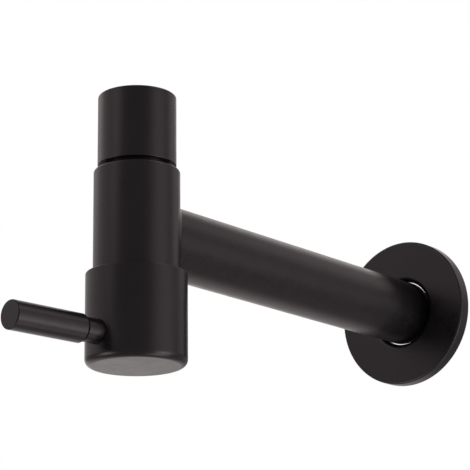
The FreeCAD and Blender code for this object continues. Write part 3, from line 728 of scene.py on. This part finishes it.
@dataclass
class SupplyArm(Piece):
    """Tube from the wall to the valve body, with a soldered and smoothed joint."""

    node: ClassVar[str] = "supply_arm"
    radius: float = 12.5
    bore: float = 8.5
    spigot: float = 10.0
    spigot_end: float = 10.7
    socket: float = 10.5775
    socket_floor: float = -16.49
    wall_end: float = -2.5
    chamfer: float = 0.4
    body_radius: float = 15.0
    joint: float = 1.1
    joint_end: float = 1.0
    sunk: float = 0.03
    segments: int = 192
    joint_steps: int = 6
    runs: int = 6
    thread_start: float = 1.0

    def cope(self, radius: float, angle: float, body_radius: float) -> float:
        """Find where a line of the tube meets the body.

        Args:
            radius: Distance of the line from the arm's axis.
            angle: Its angle round that axis.
            body_radius: Radius of the upright cylinder.

        Returns:
            The Y place of the meeting point.
        """
        aside = radius * math.cos(angle)
        return -PROJECTION + math.sqrt(body_radius ** 2 - aside ** 2)

    def on_tube(self, radius: float, angle: float, along: float) -> Vector:
        """Return a point at a radius, angle and place along the arm."""
        aside, above = around(radius, angle)
        return Vector((aside, along, above))

    def joint_rings(self, angles: list[float]) -> list[list[Vector]]:
        """Make the hollow round between body and tube.

        Args:
            angles: Angles round the arm's axis.

        Returns:
            Rings from the body's surface to the tube's.
        """
        rings: list[list[Vector]] = []
        foot = self.radius + self.joint
        for step in range(self.joint_steps + 1):
            share = step / self.joint_steps
            ring = []
            for angle in angles:
                start = self.on_tube(foot, angle, self.cope(foot, angle, self.body_radius - self.sunk))
                crease = self.on_tube(self.radius, angle, self.cope(self.radius, angle, self.body_radius))
                end = crease + Vector((0.0, self.joint, 0.0))
                ring.append(start * (1.0 - share) ** 2 + crease * 2.0 * share * (1.0 - share)
                            + end * share ** 2)
            rings.append(ring)
        return rings

    def build(self) -> bpy.types.Object:
        """Make the tube.

        Returns:
            The new object, in metres.
        """
        angles = [2.0 * math.pi * index / self.segments for index in range(self.segments)]
        deep = self.body_radius - 2.0 * self.joint

        def ring(radius: float, along: float) -> list[Vector]:
            """Return a plain ring of the tube."""
            return [self.on_tube(radius, angle, along) for angle in angles]

        spigot_end = -PROJECTION + self.spigot_end
        rings = [ring(self.bore, spigot_end), ring(self.spigot, spigot_end)]
        rings.append([self.on_tube(self.spigot, angle, self.cope(self.spigot, angle, deep))
                      for angle in angles])
        rings += self.joint_rings(angles)
        straight_start = -PROJECTION + self.body_radius + self.joint + self.joint_end
        straight_end = self.wall_end - self.chamfer
        rings += [ring(self.radius, along) for along in spaced(straight_start, straight_end, self.runs)]
        rings += [ring(self.radius - self.chamfer, self.wall_end), ring(self.socket, self.wall_end)]
        thread = Thread(self.socket, self.socket_floor + self.thread_start, self.wall_end - self.thread_start)
        for along in reversed(thread.places()):
            rings.append([self.on_tube(thread.shape(-angle, along), angle, along) for angle in angles])
        rings += [ring(self.socket, self.socket_floor), ring(self.bore, self.socket_floor)]
        form = bmesh.new()
        skin_rings(form, rings, closed=True)
        return finish_mesh("arm_tube", form)


@dataclass
class InletThread(Piece):
    """Threaded tail: pipe thread on both sides of a run-out groove, and a key bore."""

    node: ClassVar[str] = "inlet_tail"
    major: float = 10.4775
    inner_end: float = -16.4
    outer_end: float = 14.0
    chamfer: float = 1.0
    groove_low: float = -2.5
    groove_high: float = -1.0
    groove_depth: float = 1.0
    run_out: float = 0.7
    key: float = 12.0
    mouth_depth: float = 1.2
    mouth_edge: float = 0.1
    mouth_past: float = 0.5

    def build(self) -> bpy.types.Object:
        """Make the tail.

        Returns:
            The new object, in metres.
        """
        low, high = self.inner_end, self.outer_end
        groove = self.major - self.groove_depth
        piece = Turned("inlet_thread", [
            Corner(0.0, low),
            Corner(self.major - self.chamfer, low),
            Corner(self.major, low + self.chamfer),
            Corner(self.major, self.groove_low),
            Corner(groove, self.groove_low),
            Corner(groove, self.groove_high),
            Corner(self.major, self.groove_high),
            Corner(self.major, high - self.chamfer),
            Corner(self.major - self.chamfer, high),
            Corner(0.0, high),
        ], Lie.ALONG_ARM, segments=96, zones=(
            Thread(self.major, low + self.chamfer, self.groove_low, run_out=self.run_out),
            Thread(self.major, self.groove_high, high - self.chamfer, run_out=self.run_out),
        )).build()
        cut_away(piece, Prism("key", hexagon(self.key), low - CUT_PAST, high + CUT_PAST, Lie.ALONG_ARM))
        mouth = over_corners(self.key) + self.mouth_edge
        cut_away(piece, Turned("mouth", [
            Corner(0.0, high - self.mouth_depth),
            Corner(mouth - self.mouth_depth, high - self.mouth_depth),
            Corner(mouth + self.mouth_past, high + self.mouth_past),
            Corner(0.0, high + self.mouth_past),
        ], Lie.ALONG_ARM, segments=96))
        return piece


@dataclass
class WallRosette(Piece):
    """Pressed cover cup, loose on the arm, with a collar bent in round its hole."""

    body: ClassVar[Body] = Body.ROSETTE
    node: ClassVar[str] = "rosette"
    radius: float = 29.0
    depth: float = 5.0
    sheet: float = 1.2
    hole: float = 12.75
    collar: float = 3.1
    outer_bend: float = 0.8
    lip_bend: float = 2.0
    inner_bend: float = 0.8
    rim_bend: float = 0.15
    collar_bend: float = 0.1

    def build(self) -> bpy.types.Object:
        """Make the cup.

        Returns:
            The new object, in metres.
        """
        return Turned("wall_rosette", [
            Corner(self.hole, -self.depth, self.lip_bend),
            Corner(self.radius, -self.depth, self.outer_bend),
            Corner(self.radius, 0.0, self.rim_bend),
            Corner(self.radius - self.sheet, 0.0, self.rim_bend),
            Corner(self.radius - self.sheet, self.sheet - self.depth, self.inner_bend),
            Corner(self.hole + self.sheet, self.sheet - self.depth, self.inner_bend),
            Corner(self.hole + self.sheet, self.collar - self.depth, self.collar_bend),
            Corner(self.hole, self.collar - self.depth, self.collar_bend),
        ], Lie.ALONG_ARM, segments=224, steps=8).build()


@dataclass
class ValveBody(Piece):
    """Turned body with the cartridge's chamber above and the outlet thread below."""

    node: ClassVar[str] = "tap_body"
    radius: float = 15.0
    bottom: float = -22.0
    top: float = 24.0
    bottom_bend: float = 0.8
    top_bend: float = 0.4
    chamber: float = 10.5775
    seal_pocket: float = 12.1775
    seal_depth: float = 1.4
    seat: float = -10.0
    web: float = 4.0
    port: float = 6.0
    port_bend: float = 0.3
    outlet: float = 12.1
    mouth_bend: float = 0.4
    cartridge_thread: float = 13.0
    outlet_thread: float = -15.0
    thread_start: float = 0.6
    arm_hole: float = 10.1
    hole_reach: float = 17.9

    def build(self) -> bpy.types.Object:
        """Make the body with the hole for the arm's spigot.

        Returns:
            The new object, in metres.
        """
        barrel = Turned("valve_body", [
            Corner(self.port, self.seat, self.port_bend),
            Corner(self.chamber, self.seat),
            Corner(self.chamber, self.top - self.seal_depth),
            Corner(self.seal_pocket, self.top - self.seal_depth),
            Corner(self.seal_pocket, self.top),
            Corner(self.radius, self.top, self.top_bend),
            Corner(self.radius, self.bottom, self.bottom_bend),
            Corner(self.outlet, self.bottom, self.mouth_bend),
            Corner(self.outlet, self.seat - self.web),
            Corner(self.port, self.seat - self.web, self.port_bend),
        ], Lie.UPRIGHT, segments=192, zones=(
            Thread(self.chamber, self.cartridge_thread, self.top - self.seal_depth),
            OutletThread(self.outlet, self.bottom + self.thread_start, self.outlet_thread),
        )).build()
        cut_away(barrel, Turned("arm_hole", [
            Corner(0.0, -PROJECTION),
            Corner(self.arm_hole, -PROJECTION),
            Corner(self.arm_hole, self.hole_reach - PROJECTION),
            Corner(0.0, self.hole_reach - PROJECTION),
        ], Lie.ALONG_ARM, segments=192))
        return barrel


@dataclass
class Handle(Piece):
    """Bell-shaped handle that fits over the spindle's teeth."""

    body: ClassVar[Body] = Body.HANDLE
    node: ClassVar[str] = "handle_cap"
    radius: float = 17.5
    bore: float = 15.35
    bottom: float = 14.8
    top: float = 47.0
    crown_bend: float = 2.5
    skirt_bend: float = 0.4
    mouth_bend: float = 0.25
    block: float = 31.5
    room: float = 7.5
    room_bend: float = 0.3
    spline_tip: float = 4.1
    spline_root: float = 3.7
    spline_bend: float = 0.2
    teeth: int = 20
    teeth_past: float = 0.5
    spline_low: float = 35.0
    spline_high: float = 43.5
    neck_hole: float = 4.35
    neck_seat: float = 15.5
    screw_hole: float = 2.6
    hole_edge: float = 0.25
    drill_past: float = 5.0
    thread_start: float = 1.0
    thread_end: float = 0.4

    def cross_hole(self) -> Turned:
        """Describe what is drilled out for the lever, its stud and the grub screw.

        Returns:
            The form to cut out.
        """
        beyond = self.radius + self.drill_past
        return Turned("cross_hole", [
            Corner(0.0, -beyond),
            Corner(self.screw_hole + self.hole_edge + self.drill_past, -beyond),
            Corner(self.screw_hole + self.hole_edge, -self.radius),
            Corner(self.screw_hole, self.hole_edge - self.radius),
            Corner(self.screw_hole, self.neck_seat),
            Corner(self.neck_hole, self.neck_seat),
            Corner(self.neck_hole, beyond),
            Corner(0.0, beyond),
        ], Lie.ALONG_LEVER, segments=64, zones=(
            ScrewThread(self.screw_hole, self.thread_start - self.radius, -self.spline_tip),
            ScrewThread(self.screw_hole, self.spline_tip, self.neck_seat - self.thread_end),
        ))

    def build(self) -> bpy.types.Object:
        """Make the bell with its cross hole and the teeth over the spindle.

        Returns:
            The new object, in metres.
        """
        bell = Turned("handle_shell", [
            Corner(0.0, self.spline_high),
            Corner(0.0, self.top),
            Corner(self.radius, self.top, self.crown_bend),
            Corner(self.radius, self.bottom, self.skirt_bend),
            Corner(self.bore, self.bottom, self.mouth_bend),
            Corner(self.bore, self.block),
            Corner(self.room, self.block, self.room_bend),
            Corner(self.room, self.spline_low),
            Corner(self.spline_root, self.spline_low, self.spline_bend),
            Corner(self.spline_root, self.spline_high),
        ], Lie.UPRIGHT, segments=192, steps=10).build()
        cut_away(bell, Prism("teeth", star(self.spline_tip, self.spline_root, self.teeth),
                             self.spline_low - self.teeth_past, self.spline_high, Lie.UPRIGHT))
        cut_away(bell, self.cross_hole())
        return bell


@dataclass
class Lever(Piece):
    """Round lever bar with a shoulder and a thinner neck."""

    body: ClassVar[Body] = Body.HANDLE
    node: ClassVar[str] = "lever_pin"
    radius: float = 5.0
    neck: float = 4.25
    neck_start: float = 15.5
    neck_bend: float = 0.08
    shoulder: float = 24.0
    shoulder_rise: float = 0.75
    shoulder_bend: float = 0.3
    tip: float = 53.75
    line: float = 0.35
    tip_bend: float = 0.5
    stud_hole: float = 2.6
    hole_end: float = 25.6
    thread_start: float = 0.4
    thread_end: float = 0.6

    def build(self) -> bpy.types.Object:
        """Make the lever.

        Returns:
            The new object, in metres.
        """
        return Turned("lever_bar", [
            Corner(self.stud_hole, self.neck_start),
            Corner(self.neck, self.neck_start),
            Corner(self.neck, self.shoulder - self.line),
            Corner(self.neck - self.line, self.shoulder - self.line),
            Corner(self.neck - self.line, self.shoulder),
            Corner(self.neck, self.shoulder, self.neck_bend),
            Corner(self.radius, self.shoulder + self.shoulder_rise, self.shoulder_bend),
            Corner(self.radius, self.tip, self.tip_bend),
            Corner(0.0, self.tip),
            Corner(0.0, self.hole_end),
            Corner(self.stud_hole, self.hole_end),
        ], Lie.ALONG_LEVER, segments=128, zones=(
            ScrewThread(self.stud_hole, self.neck_start + self.thread_start,
                        self.hole_end - self.thread_end),
        )).build()


@dataclass
class LeverScrews:
    """Stud between lever and handle, and the grub screw at the handle's back."""

    radius: float = 2.5
    point: float = 0.4
    stud_low: float = 4.5
    stud_high: float = 25.5
    grub_low: float = -12.1
    grub_high: float = -4.1
    key: float = 2.5
    key_depth: float = 3.0

    def rod(self, name: str, low: float, high: float) -> bpy.types.Object:
        """Make a threaded rod along the lever's axis.

        Args:
            name: Name of the piece.
            low: Its inner or rear end.
            high: Its other end.

        Returns:
            The new object, in metres.
        """
        return Turned(name, [
            Corner(0.0, low),
            Corner(self.radius - self.point, low),
            Corner(self.radius, low + self.point),
            Corner(self.radius, high - self.point),
            Corner(self.radius - self.point, high),
            Corner(0.0, high),
        ], Lie.ALONG_LEVER, segments=64, zones=(
            ScrewThread(self.radius, low + self.point, high - self.point),
        )).build()

    def install(self, shop: Workshop) -> None:
        """Build both screws and put them in.

        Args:
            shop: The workshop that mounts them.
        """
        stud = self.rod("lever_rod", self.stud_low, self.stud_high)
        shop.mount(stud, Slot.STEEL, Body.HANDLE, "lever_stud")
        grub = self.rod("grub_screw", self.grub_low, self.grub_high)
        cut_away(grub, Prism("key", hexagon(self.key), self.grub_low - CUT_PAST,
                             self.grub_low + self.key_depth, Lie.ALONG_LEVER))
        shop.mount(grub, Slot.STEEL, Body.HANDLE, "handle_grub_screw")


@dataclass
class CartridgeHousing(Piece):
    """Brass headwork of the quarter-turn valve: cage, thread, collar, hexagon and gland."""

    slot: ClassVar[Slot] = Slot.BRASS
    node: ClassVar[str] = "cartridge_housing"
    cage_bore: float = 7.6
    cage: float = 8.9
    cage_low: float = -9.0
    thread: float = 10.4775
    thread_low: float = 13.0
    thread_high: float = 22.0
    chamfer: float = 0.8
    collar: float = 13.0
    collar_low: float = 24.0
    hexagon_low: float = 26.0
    hexagon_high: float = 31.0
    flats: float = 19.0
    gland: float = 7.0
    top: float = 33.0
    bore: float = 5.05
    shoulder: float = 9.67
    stop: float = 5.6
    stop_low: float = 6.02
    stop_high: float = 9.02
    stop_free: float = 141.0
    stop_middle: float = 135.0
    stop_steps: int = 47
    window: float = 4.5
    window_low: float = -0.38
    window_high: float = 5.42
    key_slot: float = 1.35
    key_low: float = -9.5
    key_high: float = -3.88
    edge: float = 0.2
    soft_edge: float = 0.3

    def build(self) -> bpy.types.Object:
        """Make the housing.

        Returns:
            The new object, in metres.
        """
        corner = over_corners(self.flats)
        piece = Turned("brass_headwork", [
            Corner(self.cage_bore, self.cage_low, self.edge),
            Corner(self.cage, self.cage_low, self.soft_edge),
            Corner(self.cage, self.thread_low, self.soft_edge),
            Corner(self.thread - self.chamfer, self.thread_low),
            Corner(self.thread, self.thread_low + self.chamfer),
            Corner(self.thread, self.collar_low),
            Corner(self.collar, self.collar_low, self.edge),
            Corner(self.collar, self.hexagon_low, self.edge),
            Corner(corner, self.hexagon_low),
            Corner(corner, self.hexagon_high),
            Corner(self.gland, self.hexagon_high),
            Corner(self.gland, self.top, self.soft_edge),
            Corner(self.bore, self.top, self.edge),
            Corner(self.bore, self.shoulder),
            Corner(self.cage_bore, self.shoulder),
            Corner(self.cage_bore, self.stop_high),
            Corner(self.stop, self.stop_high),
            Corner(self.stop, self.stop_low),
            Corner(self.cage_bore, self.stop_low),
        ], Lie.UPRIGHT, segments=144, steps=3, zones=(
            Thread(self.thread, self.thread_low + self.chamfer, self.thread_high),
            Hexagon(corner, self.hexagon_low, self.hexagon_high, self.flats),
        )).build()
        reach = self.cage + 2.0 * CUT_PAST
        cuts = [
            (sector(self.stop - CUT_PAST, self.cage_bore, self.stop_middle, self.stop_free, self.stop_steps),
             self.stop_low, self.stop_high),
            (bar(-self.window, self.window, -reach, reach), self.window_low, self.window_high),
            (bar(-reach, reach, -self.key_slot, self.key_slot), self.key_low, self.key_high),
        ]
        for section, low, high in cuts:
            cut_away(piece, Prism("relief", section, low, high, Lie.UPRIGHT))
        return piece


@dataclass
class AeratorInsert(Piece):
    """Threaded ring that holds screen, diffuser and straightener in the outlet."""

    slot: ClassVar[Slot] = Slot.PLASTIC
    node: ClassVar[str] = "aerator_housing"
    radius: float = 10.75
    bore: float = 9.2
    lip: float = 8.2
    bottom: float = -48.6
    floor: float = -47.1
    top: float = -37.7
    chamfer: float = 0.5
    notches: int = 8
    notch: float = 0.8
    notch_depth: float = 1.0
    edge: float = 0.2

    def build(self) -> bpy.types.Object:
        """Make the ring with its key notches.

        Returns:
            The new object, in metres.
        """
        ring = Turned("aerator_insert", [
            Corner(self.lip, self.bottom, self.edge),
            Corner(self.radius - self.chamfer, self.bottom),
            Corner(self.radius, self.bottom + self.chamfer),
            Corner(self.radius, self.top - self.chamfer),
            Corner(self.radius - self.chamfer, self.top),
            Corner(self.bore, self.top, self.edge),
            Corner(self.bore, self.floor),
            Corner(self.lip, self.floor, self.edge),
        ], Lie.UPRIGHT, segments=144, steps=3, zones=(
            OutletThread(self.radius, self.bottom + self.chamfer, self.top - self.chamfer),
        )).build()
        for index in range(self.notches):
            section = bar(self.lip - CUT_PAST, self.bore, -self.notch, self.notch,
                          360.0 * index / self.notches)
            cut_away(ring, Prism("notch", section, self.bottom - CUT_PAST, self.bottom + self.notch_depth,
                                 Lie.UPRIGHT))
        return ring


@dataclass
class OutletSleeve(Piece):
    """Outlet nozzle with its threaded neck above and the aerator's chamber inside."""

    node: ClassVar[str] = "outlet_sleeve"
    radius: float = 13.7
    top: float = -23.7
    bottom: float = -49.2
    neck: float = 12.0
    neck_top: float = -15.5
    relief: float = 11.2
    relief_top: float = -20.6
    neck_bore: float = 9.5
    chamber: float = 10.85
    shoulder: float = -36.2
    outlet_bend: float = 0.6
    top_bend: float = 0.35
    neck_bend: float = 0.3
    mouth_bend: float = 0.25
    thread_gap: float = 0.9

    def build(self) -> bpy.types.Object:
        """Make the nozzle.

        Returns:
            The new object, in metres.
        """
        return Turned("outlet_nozzle", [
            Corner(self.neck_bore, self.neck_top),
            Corner(self.neck, self.neck_top, self.neck_bend),
            Corner(self.neck, self.relief_top),
            Corner(self.relief, self.relief_top),
            Corner(self.relief, self.top),
            Corner(self.radius, self.top, self.top_bend),
            Corner(self.radius, self.bottom, self.outlet_bend),
            Corner(self.chamber, self.bottom, self.mouth_bend),
            Corner(self.chamber, self.shoulder),
            Corner(self.neck_bore, self.shoulder),
        ], Lie.UPRIGHT, segments=192, zones=(
            OutletThread(self.neck, self.relief_top, self.neck_top - self.neck_bend),
            OutletThread(self.chamber, self.bottom + self.thread_gap, self.shoulder - self.thread_gap),
        )).build()


def direction(heading: float, height: float) -> Vector:
    """Find the unit vector of a direction.

    Args:
        heading: Angle from +Y towards +X, in degrees.
        height: Angle above the level, in degrees.

    Returns:
        The unit vector.
    """
    aside, ahead = math.sin(math.radians(heading)), math.cos(math.radians(heading))
    above, level = math.sin(math.radians(height)), math.cos(math.radians(height))
    return Vector((aside * level, ahead * level, above))


@dataclass(frozen=True)
class Glow:
    """A soft bright patch of the surroundings: where it stands, how bright and how wide it is."""

    heading: float
    height: float
    strength: float
    outer: float


@dataclass
class Studio:
    """White studio: soft surroundings, pale floor and the camera."""

    base: float = 0.283
    tint: Triple = (1.0, 0.92, 0.915)
    glows: tuple[Glow, ...] = (
        Glow(-70.0, 30.2, 2.38, 21.0),
        Glow(146.0, 30.2, 2.16, 21.0),
        Glow(-67.6, -46.4, 1.95, 21.0),
        Glow(-54.0, 58.3, 1.80, 21.0),
        Glow(90.0, -31.7, 0.88, 21.0),
        Glow(162.0, -31.7, 0.87, 21.0),
        Glow(-72.0, 0.0, 0.63, 40.0),
        Glow(-62.8, 14.5, 0.61, 21.0),
        Glow(18.0, -31.7, 0.59, 21.0),
        Glow(54.0, 0.0, 0.58, 21.0),
        Glow(54.0, 31.7, 0.48, 40.0),
        Glow(-18.0, -26.6, 0.40, 21.0),
        Glow(54.0, -26.6, 0.39, 40.0),
        Glow(126.0, -26.6, 0.34, 40.0),
    )
    floor_height: float = -600.0
    floor_size: float = 60000.0
    floor_cells: int = 8
    floor_tone: float = 0.86
    floor_glow: float = 0.97
    floor_white: float = 1.015
    heading: float = 40.158
    dip: float = 16.092
    roll: float = 179.42
    lens: float = 152.55
    sensor: float = 36.0
    clip: Pair = (0.01, 200.0)
    camera_place: Triple = (-449.64, -640.53, 190.70)

    def light_world(self) -> None:
        """Make surroundings that are white to the camera and soft patches to the object."""
        world = bpy.data.worlds.new("studio")
        bpy.context.scene.world = world
        world.use_nodes = True
        world.node_tree.nodes.clear()
        board = NodeBoard(world.node_tree)
        way = board.add("TexCoord", {}).outputs["Generated"]
        total = self.base
        for glow in self.glows:
            nearness = board.add("VectorMath", {0: way, 1: direction(glow.heading, glow.height)},
                                 operation="DOT_PRODUCT").outputs["Value"]
            patch = board.add("MapRange", {
                "Value": nearness, "From Min": math.cos(math.radians(glow.outer)), "From Max": 1.0,
                "To Max": glow.strength}, interpolation_type="SMOOTHSTEP").outputs["Result"]
            total = board.add("Math", {0: total, 1: patch}).outputs[0]
        surroundings = board.add("Background", {"Color": (*self.tint, 1.0), "Strength": total})
        ground = board.add("Background", {"Color": WHITE, "Strength": 1.0})
        shown = board.add("LightPath", {}).outputs["Is Camera Ray"]
        choice = board.add("MixShader", {0: shown, 1: surroundings.outputs[0], 2: ground.outputs[0]})
        board.add("OutputWorld", {"Surface": choice.outputs[0]})

    def lay_floor(self) -> None:
        """Lay a pale floor far enough below the tap that it stays plain."""
        form = bmesh.new()
        bmesh.ops.create_grid(form, x_segments=self.floor_cells, y_segments=self.floor_cells,
                              size=self.floor_size / 2.0)
        bmesh.ops.translate(form, vec=(0.0, 0.0, self.floor_height), verts=form.verts)
        floor = finish_mesh("floor", form)
        material = bpy.data.materials.new("pale_floor")
        material.use_nodes = True
        material.node_tree.nodes.clear()
        board = NodeBoard(material.node_tree)
        matt = board.add("BsdfDiffuse", {"Color": (self.floor_tone,) * 3 + (1.0,)})
        white = board.add("Emission", {"Color": WHITE, "Strength": self.floor_white})
        shown = board.add("LightPath", {}).outputs["Is Camera Ray"]
        share = board.add("Math", {0: shown, 1: self.floor_glow}, operation="MULTIPLY")
        mix = board.add("MixShader", {0: share.outputs[0], 1: matt.outputs[0], 2: white.outputs[0]})
        board.add("OutputMaterial", {"Surface": mix.outputs[0]})
        floor.data.materials.append(material)
        floor.visible_glossy = False
        floor.visible_diffuse = False

    def place_camera(self) -> None:
        """Place the camera of the photograph, which shows the tap turned by half a turn."""
        roll = math.radians(self.roll)
        ahead = direction(self.heading, -self.dip)
        level = direction(self.heading, 0.0).cross(Vector((0.0, 0.0, 1.0)))
        upright = level.cross(ahead)
        right = level * math.cos(roll) + upright * math.sin(roll)
        above = upright * math.cos(roll) - level * math.sin(roll)
        data = bpy.data.cameras.new("camera")
        data.lens = self.lens
        data.sensor_width = self.sensor
        data.clip_start, data.clip_end = self.clip
        camera = bpy.data.objects.new("camera", data)
        bpy.context.scene.collection.objects.link(camera)
        turn = Matrix((right, above, -ahead)).transposed().to_4x4()
        camera.matrix_world = Matrix.Translation(Vector(self.camera_place) * MM) @ turn
        bpy.context.scene.camera = camera

    def set_up(self) -> None:
        """Light the scene, lay the floor and place the camera."""
        bpy.context.scene.view_settings.view_transform = "Standard"
        self.light_world()
        self.lay_floor()
        self.place_camera()
        LOG.info("studio: %d soft patches, floor at %.0f mm", len(self.glows), self.floor_height)


def main() -> None:
    """Build and dress the tap piece by piece, then the studio."""
    logging.basicConfig(level=logging.INFO, format="%(message)s")
    shop = Workshop()
    for part in (SupplyArm(), InletThread(), WallRosette(), ValveBody(), CartridgeHousing(), Handle(),
                 Lever(), LeverScrews(), OutletSleeve(), AeratorInsert()):
        part.install(shop)
    shop.dress_remaining()
    Studio().set_up()


if __name__ == "__main__":
    main()
